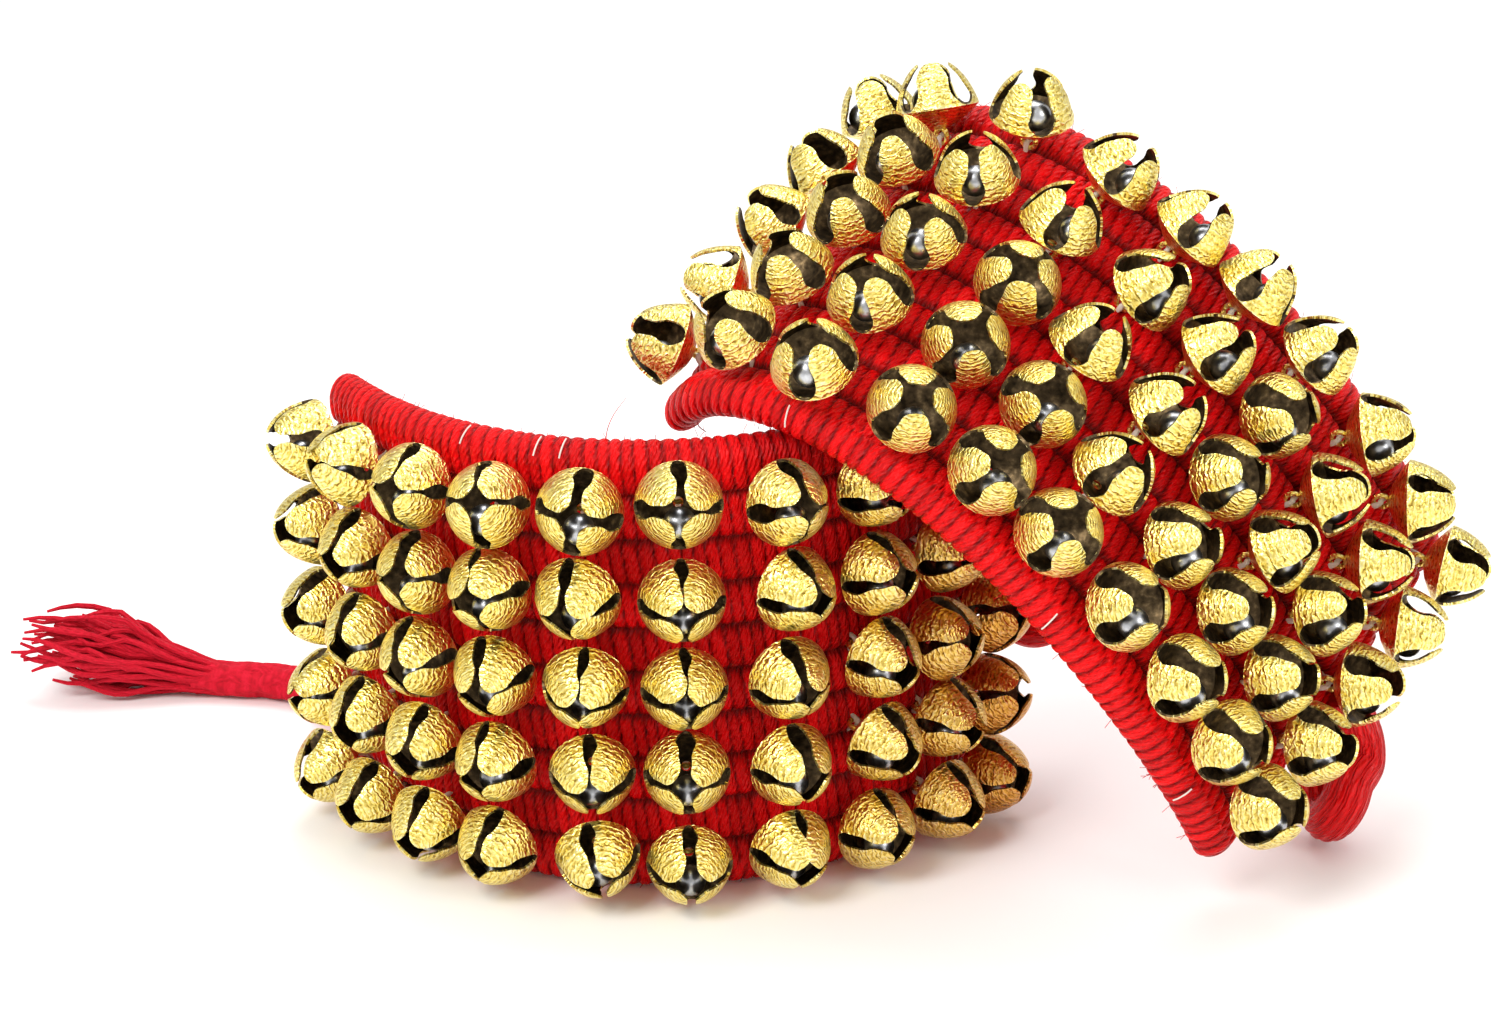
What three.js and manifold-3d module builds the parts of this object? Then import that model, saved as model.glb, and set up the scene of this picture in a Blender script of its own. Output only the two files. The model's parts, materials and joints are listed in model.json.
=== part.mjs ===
// A pair of ghungroo ankle bells: two woven bands, each sewn with five rows of ten brass jingle
// bells. One band stands on its edge, curled to the ankle, and the other leans over it.
import * as THREE from "three";
import { mergeVertices } from "three/addons/utils/BufferGeometryUtils.js";
import Module from "manifold-3d";

// Driving dimensions, in millimetres and degrees

// Layout of the bells on a band
const ROWS = 5;
const COLUMNS = 10;
const ROW_PITCH = 18.8;
const COLUMN_PITCH = 17.3;

// One bell: a shallow cup under four petals that fold in from the rim
const BELL_DIAMETER = 17.6;
const BELL_CUP_DEPTH = 4.4;
const BELL_DOME_HEIGHT = 10.6;
const BELL_WALL = 0.8;
const BELL_MOUTH_DIAMETER = 3.2;
const SLIT_END_WIDTH = 2.2;
const SLIT_WIDTH = 3.4;
const SLIT_NARROW_WIDTH = 1.2;
const PETALS = 4;
const PELLET_DIAMETER = 6.4;
// Share of its room towards a slit that the pellet rolls, because the petals close in over it
const PELLET_ROLL = 0.89;
// How each bell of a string is turned further than its neighbour along the band and across it, and the
// most that this adds up to
const ROLL_PER_COLUMN = 37;
const ROLL_PER_ROW = 53;
const ROLL_SPREAD = 32;

// The stringing thread and the wire eye at the back of each bell
const THREAD_DIAMETER = 1.6;
const EYE_WIRE = 1.2;
const CUP_RISE = 1.5;
const THREAD_END_MARGIN = 3;

// The woven band: lengthwise ridges, two to a row of bells, and plump edges
const RIDGES_PER_ROW = 2;
const RIDGE_THICKNESS = 9;
const VALLEY_THICKNESS = 5.8;
const INNER_FACE_DEPTH = 3.8;
const BAND_EDGE = 1.5;
const BAND_EDGE_FLAT = 6;
const BAND_END = 8;

// The looped end of each band and the tie cord with its frayed tassel
const LOOP_DIAMETER = 10;
const LOOP_EYE = 3;
const LOOP_LENGTH = 38;
const LOOP_STRAIGHT = 3;
const TIE_DIAMETER = 8.6;
const TASSEL_LENGTH = 46;
const TASSEL_WIDTH = 26;
const TASSEL_HEIGHT = 17;
const TASSEL_TIP_WIDTH = 9.4;
// How the tassel opens: shares of its length, and of its spread beyond the cord's own width there
const TASSEL_SPREAD = [
  [0, 0],
  [0.2, 0.05],
  [0.5, 0.8],
  [0.75, 1],
];

// Space kept between pieces that touch
const CLEARANCE = 0.3;

// How each band lies: its turn per column at the middle, how that changes along it, its angles
// about X, Y and Z, the droop of its middle row of bells and how much further each next row leans
// to its own edge, the column with loose bells and how these droop from row to row, and the way its
// end loop falls along, out and across
const STANDING = {
  name: "standing",
  turn: 16.6,
  turnSlope: 0.3,
  turnBow: -0.55,
  angles: [0, 0, -5.3],
  droop: 1,
  splay: 4.5,
  looseColumn: 6,
  looseDroop: [-10, 0, 0, -5, 6],
  loopFall: [0.12, 0.73, -0.68],
};
const LEANING = {
  name: "leaning",
  turn: 9.5,
  turnSlope: -2.7,
  turnBow: 0.55,
  angles: [-50.5, 42.6, -13.3],
  droop: -5,
  splay: 11,
  looseColumn: 3,
  looseDroop: [-16, -2, 4, 5, 10],
  loopFall: [0.14, 0.34, -0.9],
};

// Where the standing band is, and where the leaning one lies on its top edge
const STANDING_X = -49.5;
const STANDING_Y = -27.3;
const SEAT_COLUMN_BELOW = 6.8;
const SEAT_COLUMN_ABOVE = 2.3;
const SEAT_RISE = 3.4;

// Route of the tie cord, from the standing band's end down to the surface and away
const TIE_ROUTE = [
  [-112.9, 25.5, 24],
  [-115.7, 30.7, 24],
  [-118.1, 35.8, 23],
  [-119.9, 40.9, 20.5],
  [-121, 45.4, 17.2],
  [-121.8, 49.8, 13.4],
  [-122.5, 54.1, 9.8],
  [-123.4, 58.6, 6.8],
  [-124.8, 63.5, 5.1],
  [-127.1, 68.3, 4.6],
  [-130.9, 71.5, 4.5],
  [-135.5, 73.9, 4.5],
  [-140.7, 75.7, 4.5],
  [-146.5, 76.9, 4.5],
  [-152.9, 78.1, 4.5],
  [-159.5, 79.5, 4.5],
];
const TASSEL_RISE = 7;

// Faceting
const BAND_STEPS = 16;
const LINE_STEPS_PER_COLUMN = 8;
const FINE_RINGS = [0, 14, 46];
const COARSE_RINGS = [0, 38];
const RIM_POINTS = 3;
const EYE_SIDES = 4;
const EYE_STEPS = 8;
const PELLET_STEPS = [7, 5];
const CORD_SIDES = 8;
const TIE_STEPS = 8;
const LOOP_STEPS = 12;
const LOOP_LEG_SHARES = [0, 0.35, 0.7, 1];
const LOOP_BEND_TURNS = [45, 90, 135];
const TASSEL_SIDES = 10;

// Derived sizes
const rad = THREE.MathUtils.degToRad;
const bellRadius = BELL_DIAMETER / 2;
const threadRadius = THREAD_DIAMETER / 2;
const ridgePitch = ROW_PITCH / RIDGES_PER_ROW;
const rowsWidth = ROWS * ROW_PITCH;
const bandWidth = rowsWidth + 2 * BAND_EDGE;
const bandReach = (COLUMNS - 1) / 2 + BAND_END / COLUMN_PITCH;
const threadLift = RIDGE_THICKNESS / 2 + CLEARANCE + threadRadius;
const threadLength = bandWidth - 2 * THREAD_END_MARGIN;
const eyeRadius = threadRadius + CLEARANCE + EYE_WIRE / 2;
const rimLift = CUP_RISE + BELL_CUP_DEPTH;
const bellMiddle = CUP_RISE + (BELL_CUP_DEPTH + BELL_DOME_HEIGHT) / 2;
const rimSlitTurn = Math.asin(SLIT_END_WIDTH / BELL_DIAMETER);
const tipAngle = THREE.MathUtils.radToDeg(Math.acos(BELL_MOUTH_DIAMETER / BELL_DIAMETER));

// Middle turn of the three rim edges that belong to one petal: two on it and one across the slit
const petalSpan = (2 * Math.PI) / PETALS;
const petalTurn = petalSpan / 2 - rimSlitTurn;
const rimTurns = [(petalSpan - petalTurn) / 2, (petalSpan + petalTurn) / 2, petalSpan];

// Materials
function material(color, roughness, metalness) {
  return new THREE.MeshStandardMaterial({ color, roughness, metalness });
}
const brass = () => material(0xd9a83a, 0.3, 1);
const steel = () => material(0xb8bcc0, 0.2, 1);
const redYarn = () => material(0xd80f16, 0.75, 0);
const crimsonCotton = () => material(0xb80d28, 0.9, 0);
const whiteThread = () => material(0xe8e2d8, 0.9, 0);

// Joining solids
const wasm = await Module();
wasm.setup();

function solidOf(geometry) {
  const bare = geometry.clone();
  bare.deleteAttribute("normal");
  bare.deleteAttribute("uv");
  const merged = mergeVertices(bare, 1e-4);
  const mesh = new wasm.Mesh({
    numProp: 3,
    vertProperties: new Float32Array(merged.attributes.position.array),
    triVerts: new Uint32Array(merged.index.array),
  });
  return new wasm.Manifold(mesh);
}

function geometryOf(solid) {
  const mesh = solid.getMesh();
  const geometry = new THREE.BufferGeometry();
  geometry.setAttribute("position", new THREE.BufferAttribute(mesh.vertProperties, 3));
  geometry.setIndex(new THREE.BufferAttribute(mesh.triVerts, 1));
  geometry.computeVertexNormals();
  return geometry;
}

function join(geometries) {
  const solids = geometries.map(solidOf);
  return geometryOf(solids.reduce((whole, piece) => whole.add(piece)));
}

// The middle line of a band: it turns a little at each column
function bandLine({ turn, turnSlope, turnBow }) {
  const steps = Math.round(2 * bandReach * LINE_STEPS_PER_COLUMN);
  const stride = (2 * bandReach) / steps;
  const headingAt = (s) => rad(turn * s + (turnSlope * s ** 2) / 2 + (turnBow * s ** 3) / 3);
  const points = [new THREE.Vector3()];
  for (let i = 0; i < steps; i++) {
    const heading = headingAt(-bandReach + (i + 0.5) * stride);
    const move = new THREE.Vector3(Math.cos(heading), Math.sin(heading), 0);
    points.push(points[i].clone().addScaledVector(move, stride * COLUMN_PITCH));
  }
  const middle = new THREE.CatmullRomCurve3(points).getPointAt(0.5);
  const curve = new THREE.CatmullRomCurve3(points.map((point) => point.sub(middle)));
  const share = (s) => (s + bandReach) / (2 * bandReach);
  const at = (s) => ({ point: curve.getPointAt(share(s)), tangent: curve.getTangentAt(share(s)) });
  return { curve, at };
}

// Section of the band: ridged outside, plain towards the ankle, flat at both edges
function bandSection() {
  const shape = new THREE.Shape();
  const half = bandWidth / 2;
  const put = (width, outward) => shape.lineTo(-width, -outward);
  shape.moveTo(half, -BAND_EDGE_FLAT / 2);
  for (let k = 0; k < ROWS * RIDGES_PER_ROW; k++) {
    const foot = -rowsWidth / 2 + k * ridgePitch;
    if (k > 0) put(foot, VALLEY_THICKNESS / 2);
    put(foot + ridgePitch / 2, RIDGE_THICKNESS / 2);
  }
  put(half, BAND_EDGE_FLAT / 2);
  put(half, -BAND_EDGE_FLAT / 2);
  put(half - ridgePitch / 2, -INNER_FACE_DEPTH);
  put(ridgePitch / 2 - half, -INNER_FACE_DEPTH);
  put(-half, -BAND_EDGE_FLAT / 2);
  return shape;
}

// Rings of a bell's petals: how far up the dome, and half the slit beside the petal there. The slit
// is widest just above the rim, and the rim and every ring of a fine petal are round
function petalRings(angles) {
  const fine = angles.length > 2;
  return [...angles, tipAngle].map((angle, k) => {
    const narrowed = SLIT_WIDTH + ((SLIT_NARROW_WIDTH - SLIT_WIDTH) * angle) / tipAngle;
    const width = fine && k === 0 ? SLIT_END_WIDTH : narrowed;
    return { up: rad(angle), halfSlit: width / 2, round: fine || k === 0 };
  });
}

// A surface put together from points and faces that turn anticlockwise seen from outside
class Surface {
  vertices = [];
  faces = [];
  point(position) {
    this.vertices.push(...position.toArray());
    return this.vertices.length / 3 - 1;
  }
  triangle(a, b, c) {
    this.faces.push(a, b, c);
  }
  quad(a, b, c, d) {
    this.faces.push(a, b, c, a, c, d);
  }
  geometry() {
    const made = new THREE.BufferGeometry();
    made.setAttribute("position", new THREE.Float32BufferAttribute(this.vertices, 3));
    made.setIndex(this.faces);
    return made;
  }
}

// A point of the bell's dome, so many radians up from the rim, on its outer or inner face
function domePoint(up, turn, inset) {
  const radius = (bellRadius - inset) * Math.cos(up);
  const height = rimLift + (BELL_DOME_HEIGHT - inset) * Math.sin(up);
  return new THREE.Vector3(radius * Math.cos(turn), radius * Math.sin(turn), height);
}

// One petal: a bent strip with an outer and an inner face, open at the rim
function addPetal(surface, rings, centre, place) {
  const put = (ring, turn, inset) => {
    const point = domePoint(ring.up, centre + turn, inset);
    return surface.point(point.applyMatrix4(place));
  };
  const outer = [];
  const inner = [];
  for (const ring of rings) {
    const half = petalSpan / 2 - Math.asin(ring.halfSlit / (bellRadius * Math.cos(ring.up)));
    const spread = ring.round ? [-half, 0, half] : [-half, half];
    outer.push(spread.map((turn) => put(ring, turn, 0)));
    inner.push([-half, half].map((turn) => put(ring, turn, BELL_WALL)));
  }
  for (let k = 0; k + 1 < rings.length; k++) {
    const low = outer[k];
    const high = outer[k + 1];
    if (low.length === high.length) {
      low.slice(1).forEach((b, i) => surface.quad(low[i], b, high[i + 1], high[i]));
    } else {
      surface.triangle(low[0], low[1], high[0]);
      surface.triangle(low[1], high[1], high[0]);
      surface.triangle(low[1], low[2], high[1]);
    }
    surface.quad(inner[k][1], inner[k][0], inner[k + 1][0], inner[k + 1][1]);
    surface.quad(inner[k][0], low[0], high[0], inner[k + 1][0]);
    surface.quad(low.at(-1), inner[k][1], inner[k + 1][1], high.at(-1));
  }
  const tip = outer.at(-1);
  const [tipLeft, tipRight] = inner.at(-1);
  tip.slice(1).forEach((b, i) => surface.triangle(tip[i], b, tipLeft));
  surface.triangle(tip.at(-1), tipRight, tipLeft);
  return { outer: outer[0], inner: inner[0] };
}

// One bell facing +Z, turned about its axis by roll and then placed: four petals round a cup, whose
// outside runs down to a ring of foot points, one at each corner or a single one
function addBell(surface, rings, roll, place, foot) {
  const petals = [];
  for (let p = 0; p < PETALS; p++) {
    petals.push(addPetal(surface, rings, roll + (p + 0.5) * petalSpan, place));
  }
  petals.forEach((petal, p) => {
    const next = petals[(p + 1) % PETALS];
    surface.quad(petal.outer.at(-1), next.outer[0], next.inner[0], petal.inner[1]);
  });
  const innerRim = petals.flatMap((petal) => petal.inner);
  const cupFloor = new THREE.Vector3(0, 0, CUP_RISE + BELL_WALL);
  const cupMiddle = surface.point(cupFloor.applyMatrix4(place));
  innerRim.forEach((a, i) => surface.triangle(a, innerRim[(i + 1) % innerRim.length], cupMiddle));

  const outerRim = petals.flatMap((petal) => petal.outer);
  const count = outerRim.length;
  const turnAt = (i) => roll + Math.floor(i / RIM_POINTS) * petalSpan + rimTurns[i % RIM_POINTS];
  const fullTurn = 2 * Math.PI;
  const cornerAt = (i) => {
    const share = ((turnAt(i % count) + fullTurn) % fullTurn) / fullTurn;
    return foot[Math.floor(share * foot.length)];
  };
  outerRim.forEach((a, i) => {
    const b = outerRim[(i + 1) % count];
    surface.triangle(cornerAt(i), b, a);
    if (cornerAt(i) !== cornerAt(i + 1)) surface.triangle(cornerAt(i), cornerAt(i + 1), b);
  });
}

// A bell whose wire eye goes round the thread, which runs along Y
function looseBellGeometry(roll) {
  const surface = new Surface();
  const foot = [surface.point(new THREE.Vector3(0, 0, CUP_RISE))];
  addBell(surface, petalRings(FINE_RINGS), roll, new THREE.Matrix4(), foot);
  const eye = new THREE.TorusGeometry(eyeRadius, EYE_WIRE / 2, EYE_SIDES, EYE_STEPS);
  return join([surface.geometry(), eye.rotateX(Math.PI / 2)]);
}

// A column of bells fused with the thread that they are strung on, a square bar along Y
function stringGeometry(rolls, lie) {
  const surface = new Surface();
  const at = (x, y, z) => surface.point(new THREE.Vector3(x * threadRadius, y, z * threadRadius));
  const feet = rolls.map((_, row) => footOffset(lie, row)).reverse();
  const ends = [-threadLength / 2, threadLength / 2];
  const stations = [ends[0], ...feet.flatMap((y) => [y - threadRadius, y + threadRadius]), ends[1]];
  const left = stations.map((y) => at(-1, y, 1));
  const right = stations.map((y) => at(1, y, 1));
  const underLeft = ends.map((y) => at(-1, y, -1));
  const underRight = ends.map((y) => at(1, y, -1));
  const last = stations.length - 1;
  for (let k = 0; k < last; k++) {
    if (k % 2 === 0) surface.quad(left[k], right[k], right[k + 1], left[k + 1]);
    surface.triangle(underRight[0], right[k + 1], right[k]);
    surface.triangle(underLeft[1], left[k], left[k + 1]);
  }
  surface.triangle(underRight[0], underRight[1], right[last]);
  surface.triangle(underLeft[1], underLeft[0], left[0]);
  surface.quad(underLeft[0], underLeft[1], underRight[1], underRight[0]);
  surface.quad(underLeft[0], underRight[0], right[0], left[0]);
  surface.quad(underRight[1], underLeft[1], left[last], right[last]);
  feet.forEach((y, i) => {
    const row = ROWS - 1 - i;
    const place = new THREE.Matrix4().makeRotationX(droopAt(lie, row)).setPosition(0, y, 0);
    const a = 2 * i + 1;
    const foot = [right[a + 1], left[a + 1], left[a], right[a]];
    addBell(surface, petalRings(COARSE_RINGS), rolls[row], place, foot);
  });
  return surface.geometry();
}

// How far across the band a row is, how the bells of a string droop there, and where these sit on
// the thread so that their middles stay in their row
const rowOffset = (row) => ((ROWS - 1) / 2 - row) * ROW_PITCH;
const droopAt = (lie, row) => rad(lie.droop + lie.splay * (row - (ROWS - 1) / 2));
const footOffset = (lie, row) => rowOffset(row) + bellMiddle * Math.sin(droopAt(lie, row));

function mesh(name, geometry, look) {
  const made = new THREE.Mesh(geometry, look);
  made.name = name;
  return made;
}

// Where a column's thread lies: X along the band, Y across it, Z away from the ankle
function columnFrame(line, column) {
  const { point, tangent } = line.at(column - (COLUMNS + 1) / 2);
  const across = new THREE.Vector3(0, 0, 1);
  const outward = new THREE.Vector3().crossVectors(tangent, across);
  const frame = new THREE.Group();
  frame.position.copy(point).addScaledVector(outward, threadLift);
  frame.quaternion.setFromRotationMatrix(new THREE.Matrix4().makeBasis(tangent, across, outward));
  return frame;
}

// The pellet lies low in its bell, between the two petals beside the lowest slit
function pelletPlace() {
  const radius = PELLET_DIAMETER / 2;
  const flatOfPetal = (bellRadius - BELL_WALL) * Math.cos(petalTurn);
  const offset = ((flatOfPetal - radius - 2 * CLEARANCE) / Math.SQRT1_2) * PELLET_ROLL;
  const coneSlope = (BELL_CUP_DEPTH - BELL_WALL) / flatOfPetal;
  const coneLength = Math.hypot(1, coneSlope);
  const coneHeight = CUP_RISE + BELL_WALL + coneSlope * offset * Math.SQRT1_2;
  return { offset, height: coneHeight + (radius + CLEARANCE) * coneLength };
}

// How a bell is turned on its stalk so that a slit faces down
function downwardRoll(frame) {
  const down = new THREE.Vector3(0, 0, -1).transformDirection(frame.matrixWorld.clone().invert());
  return Math.atan2(down.y, down.x);
}

// One bell with its eye on the thread, and the steel pellet inside it
function addLooseBell(frame, name, row, droop) {
  const pivot = new THREE.Group();
  pivot.position.y = rowOffset(row);
  pivot.rotation.x = rad(droop);
  frame.add(pivot);
  pivot.updateWorldMatrix(true, false);
  const roll = downwardRoll(pivot);
  pivot.add(mesh(`${name}_bell_${row + 1}`, looseBellGeometry(roll), brass()));
  const { offset, height } = pelletPlace();
  const ball = new THREE.SphereGeometry(PELLET_DIAMETER / 2, ...PELLET_STEPS);
  const pellet = mesh(`${name}_pellet_${row + 1}`, ball, steel());
  pellet.position.set(offset * Math.cos(roll), offset * Math.sin(roll), height);
  pivot.add(pellet);
}

// One column: loose bells on their own thread, or bells and thread as one string
function addColumn(band, line, lie, column) {
  const frame = columnFrame(line, column);
  band.add(frame);
  const name = `${lie.name}_${column}`;
  if (column === lie.looseColumn) {
    const thread = new THREE.CylinderGeometry(threadRadius, threadRadius, threadLength, CORD_SIDES);
    frame.add(mesh(`${name}_thread`, thread, whiteThread()));
    for (let row = 0; row < ROWS; row++) addLooseBell(frame, name, row, lie.looseDroop[row]);
    return;
  }
  const rollAt = (row) => ((ROLL_PER_COLUMN * column + ROLL_PER_ROW * row) % ROLL_SPREAD) - ROLL_SPREAD / 2;
  const rolls = Array.from({ length: ROWS }, (_, row) => rad(rollAt(row)));
  frame.add(mesh(`${name}_string`, stringGeometry(rolls, lie), brass()));
}

// The loop that closes the band: a fat wrapped bundle that leaves the end and comes back to it
function endLoopGeometry(line, lie) {
  const { point, tangent } = line.at(bandReach);
  const across = new THREE.Vector3(0, 0, 1);
  const outward = new THREE.Vector3().crossVectors(tangent, across);
  const [along, out, side] = lie.loopFall;
  const fall = new THREE.Vector3()
    .addScaledVector(tangent, along)
    .addScaledVector(outward, out)
    .addScaledVector(across, side)
    .normalize();
  const half = (LOOP_DIAMETER + LOOP_EYE) / 2;
  const reach = LOOP_LENGTH - LOOP_STRAIGHT - LOOP_DIAMETER / 2 - half;
  const start = point.clone().addScaledVector(tangent, CLEARANCE);
  const bendStart = start.clone().addScaledVector(tangent, LOOP_STRAIGHT);
  const knee = bendStart.clone().addScaledVector(tangent, reach / 2);
  const end = knee.clone().addScaledVector(fall, reach / 2);
  const middle = new THREE.QuadraticBezierCurve3(bendStart, knee, end);
  const sideAt = (share) => across.clone().cross(middle.getTangent(share)).normalize();
  const leg = (sign) => [
    start.clone().addScaledVector(sideAt(0), sign * half),
    ...LOOP_LEG_SHARES.map((share) => middle.getPoint(share).addScaledVector(sideAt(share), sign * half)),
  ];
  const bend = LOOP_BEND_TURNS.map((turn) =>
    end
      .clone()
      .addScaledVector(sideAt(1), half * Math.cos(rad(turn)))
      .addScaledVector(fall, half * Math.sin(rad(turn))),
  );
  return tube([...leg(1), ...bend, ...leg(-1).reverse()], LOOP_DIAMETER, LOOP_STEPS);
}

// A closed round tube through a list of points
function tube(points, diameter, steps) {
  const corners = [];
  for (let k = 0; k < CORD_SIDES; k++) {
    const turn = (2 * Math.PI * k) / CORD_SIDES;
    corners.push(new THREE.Vector2(Math.cos(turn), Math.sin(turn)).multiplyScalar(diameter / 2));
  }
  const section = new THREE.Shape(corners);
  const extrudePath = new THREE.CatmullRomCurve3(points);
  return new THREE.ExtrudeGeometry(section, { extrudePath, steps, bevelEnabled: false });
}

// The frayed end of the tie: strands that open out from the cord
function tassel(end, before) {
  const neck = TIE_DIAMETER / 2;
  const spread = TASSEL_HEIGHT / 2 - neck;
  const opening = TASSEL_SPREAD.map(([along, out]) => [neck + spread * out, TASSEL_LENGTH * along]);
  const profile = [[0, 0], ...opening, [TASSEL_TIP_WIDTH / 2, TASSEL_LENGTH], [0, TASSEL_LENGTH]];
  const outline = profile.map(([r, h]) => new THREE.Vector2(r, h));
  const geometry = new THREE.LatheGeometry(outline, TASSEL_SIDES);
  geometry.scale(TASSEL_WIDTH / TASSEL_HEIGHT, 1, 1);
  const made = mesh("tassel", geometry, crimsonCotton());
  const away = end.clone().sub(before).normalize();
  const lift = TASSEL_RISE / TASSEL_LENGTH;
  made.position.copy(end).addScaledVector(away, CLEARANCE + neck * lift);
  away.z = lift;
  const flat = new THREE.Vector3(away.y, -away.x, 0).normalize();
  const up = new THREE.Vector3().crossVectors(flat, away.normalize());
  made.quaternion.setFromRotationMatrix(new THREE.Matrix4().makeBasis(flat, away, up));
  return made;
}

// One band with its columns of bells and its end loop, in its own frame
function addBand(band, line, lie) {
  const extrude = { extrudePath: line.curve, steps: BAND_STEPS, bevelEnabled: false };
  band.add(mesh(`${lie.name}_band`, new THREE.ExtrudeGeometry(bandSection(), extrude), redYarn()));
  band.add(mesh(`${lie.name}_end_loop`, endLoopGeometry(line, lie), redYarn()));
  for (let column = 1; column <= COLUMNS; column++) addColumn(band, line, lie, column);
}

function bandGroup(lie) {
  const band = new THREE.Group();
  const [x, y, z] = lie.angles.map(rad);
  band.rotation.set(x, y, z, "ZYX");
  return band;
}

// The standing band, on its lower edge
const pair = new THREE.Group();
const standingLine = bandLine(STANDING);
const standing = bandGroup(STANDING);
standing.position.set(STANDING_X, STANDING_Y, bandWidth / 2);
pair.add(standing);
addBand(standing, standingLine, STANDING);

// The leaning band, its lower edge seated on the standing band's top edge
const leaningLine = bandLine(LEANING);
const leaning = bandGroup(LEANING);
const columnPoint = (line, column) => line.at(column - (COLUMNS + 1) / 2).point;
const seat = columnPoint(standingLine, SEAT_COLUMN_BELOW).setZ(bandWidth / 2 + SEAT_RISE);
standing.updateMatrixWorld(true);
seat.applyMatrix4(standing.matrixWorld);
const edge = columnPoint(leaningLine, SEAT_COLUMN_ABOVE).setZ(-bandWidth / 2);
leaning.position.copy(seat).sub(edge.applyEuler(leaning.rotation));
pair.add(leaning);
leaning.updateMatrixWorld(true);
addBand(leaning, leaningLine, LEANING);

// The tie cord and its tassel
const tieRoute = TIE_ROUTE.map((point) => new THREE.Vector3(...point));
pair.add(mesh("tie_cord", tube(tieRoute, TIE_DIAMETER, TIE_STEPS), crimsonCotton()));
pair.add(tassel(tieRoute.at(-1), tieRoute.at(-2)));

export default pair;
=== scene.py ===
# %% [markdown]
# # A pair of ghungroo ankle bells
# Dancers tie these round the ankles. A thick band of red yarn carries five rows of brass bells, and a
# steel pellet rolls in each bell. This lesson dresses the plain solids of the frame: it keeps every
# size and place from the frame, and makes the weave, the stamped brass and the yarn in Blender.

# %% Load the frame
import json
import math
import random

import bmesh
import bpy
from mathutils import Matrix, Vector


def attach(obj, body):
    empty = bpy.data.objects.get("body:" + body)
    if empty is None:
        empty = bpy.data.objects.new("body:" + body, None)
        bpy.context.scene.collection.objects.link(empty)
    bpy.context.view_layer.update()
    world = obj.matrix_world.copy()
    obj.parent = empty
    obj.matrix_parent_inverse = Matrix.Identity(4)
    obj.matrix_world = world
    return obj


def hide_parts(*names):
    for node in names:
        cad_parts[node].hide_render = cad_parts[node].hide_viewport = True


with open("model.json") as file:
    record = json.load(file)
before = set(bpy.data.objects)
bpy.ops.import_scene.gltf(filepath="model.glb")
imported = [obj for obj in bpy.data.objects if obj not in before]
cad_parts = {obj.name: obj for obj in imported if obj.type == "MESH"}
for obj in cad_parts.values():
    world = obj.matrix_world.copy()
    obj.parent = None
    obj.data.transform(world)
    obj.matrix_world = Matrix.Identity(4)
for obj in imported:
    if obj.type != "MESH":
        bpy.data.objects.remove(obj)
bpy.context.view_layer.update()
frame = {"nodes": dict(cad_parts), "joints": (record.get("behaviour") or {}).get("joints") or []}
MM = 0.001
joints = {joint["name"]: joint for joint in frame["joints"]}

# %% [markdown]
# ## The camera
# The picture was taken from a little above, with a long lens from close by. The camera's place came
# from matching the bells' centres with their places on the two bands, so it is written as a place,
# a tilt up from straight down and a small roll.

# %% Camera
IMAGE_WIDTH = 1500
FOCAL_PIXELS = 3128.7
CAMERA_PLACE = Vector((-26.45, -612.37, 290.4)) * MM
CAMERA_TILT = math.radians(70.28)
CAMERA_ROLL = math.radians(-1.30)
SENSOR_WIDTH = 36

lens = bpy.data.cameras.new("camera")
lens.sensor_width = SENSOR_WIDTH
lens.lens = FOCAL_PIXELS / IMAGE_WIDTH * SENSOR_WIDTH
camera = bpy.data.objects.new("camera", lens)
turn = Matrix.Rotation(CAMERA_TILT, 4, "X") @ Matrix.Rotation(CAMERA_ROLL, 4, "Z")
camera.matrix_world = Matrix.Translation(CAMERA_PLACE) @ turn
bpy.context.scene.collection.objects.link(camera)
bpy.context.scene.camera = camera
print("lens", round(lens.lens, 1), "mm")

# %% [markdown]
# ## The studio
# A white table under a plain bright sky and three large soft lights. Brass shows whatever is around
# it, so the light isn't even: a wide key light high on the left, a weaker fill on the right and one
# above and behind. That gives each petal a light side and a shaded side.

# %% Floor, sky and lights
FLOOR_REACH = 4.0
SKY_STRENGTH = 0.75
SKY_COLOUR = (1.0, 0.985, 0.97, 1)
LIGHTS = {
    "key": {"place": (-0.7, -0.75, 1.1), "size": 0.7, "power": 13.0},
    "fill": {"place": (0.9, -0.8, 0.7), "size": 0.6, "power": 5.0},
    "top": {"place": (0.1, 0.5, 1.2), "size": 0.9, "power": 9.0},
}
AIM = Vector((0.0, 0.0, 0.06))

scene = bpy.context.scene
scene.view_settings.view_transform = "Standard"
scene.world = bpy.data.worlds.new("studio")
scene.world.use_nodes = True
sky = scene.world.node_tree.nodes["Background"]
sky.inputs["Color"].default_value = SKY_COLOUR
sky.inputs["Strength"].default_value = SKY_STRENGTH
for name, light in LIGHTS.items():
    lamp = bpy.data.lights.new(name, "AREA")
    lamp.size = light["size"]
    lamp.energy = light["power"]
    holder = bpy.data.objects.new(name, lamp)
    holder.location = light["place"]
    holder.rotation_euler = (AIM - Vector(light["place"])).to_track_quat("-Z", "Y").to_euler()
    scene.collection.objects.link(holder)

# %% [markdown]
# ## Helpers for nodes and pieces
# Every finish below is a small node tree on one Principled shader, and every piece is a grid of quads
# that is wrapped into place. A grid is enough for a petal, a tube or the whole band, because each of
# them is a sheet with two directions: along it and across it.

# %% Node helpers
def new_finish(name):
    """A material with its node tree and its Principled shader."""
    material = bpy.data.materials.new(name)
    material.use_nodes = True
    tree = material.node_tree
    return material, tree, tree.nodes["Principled BSDF"]


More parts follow.
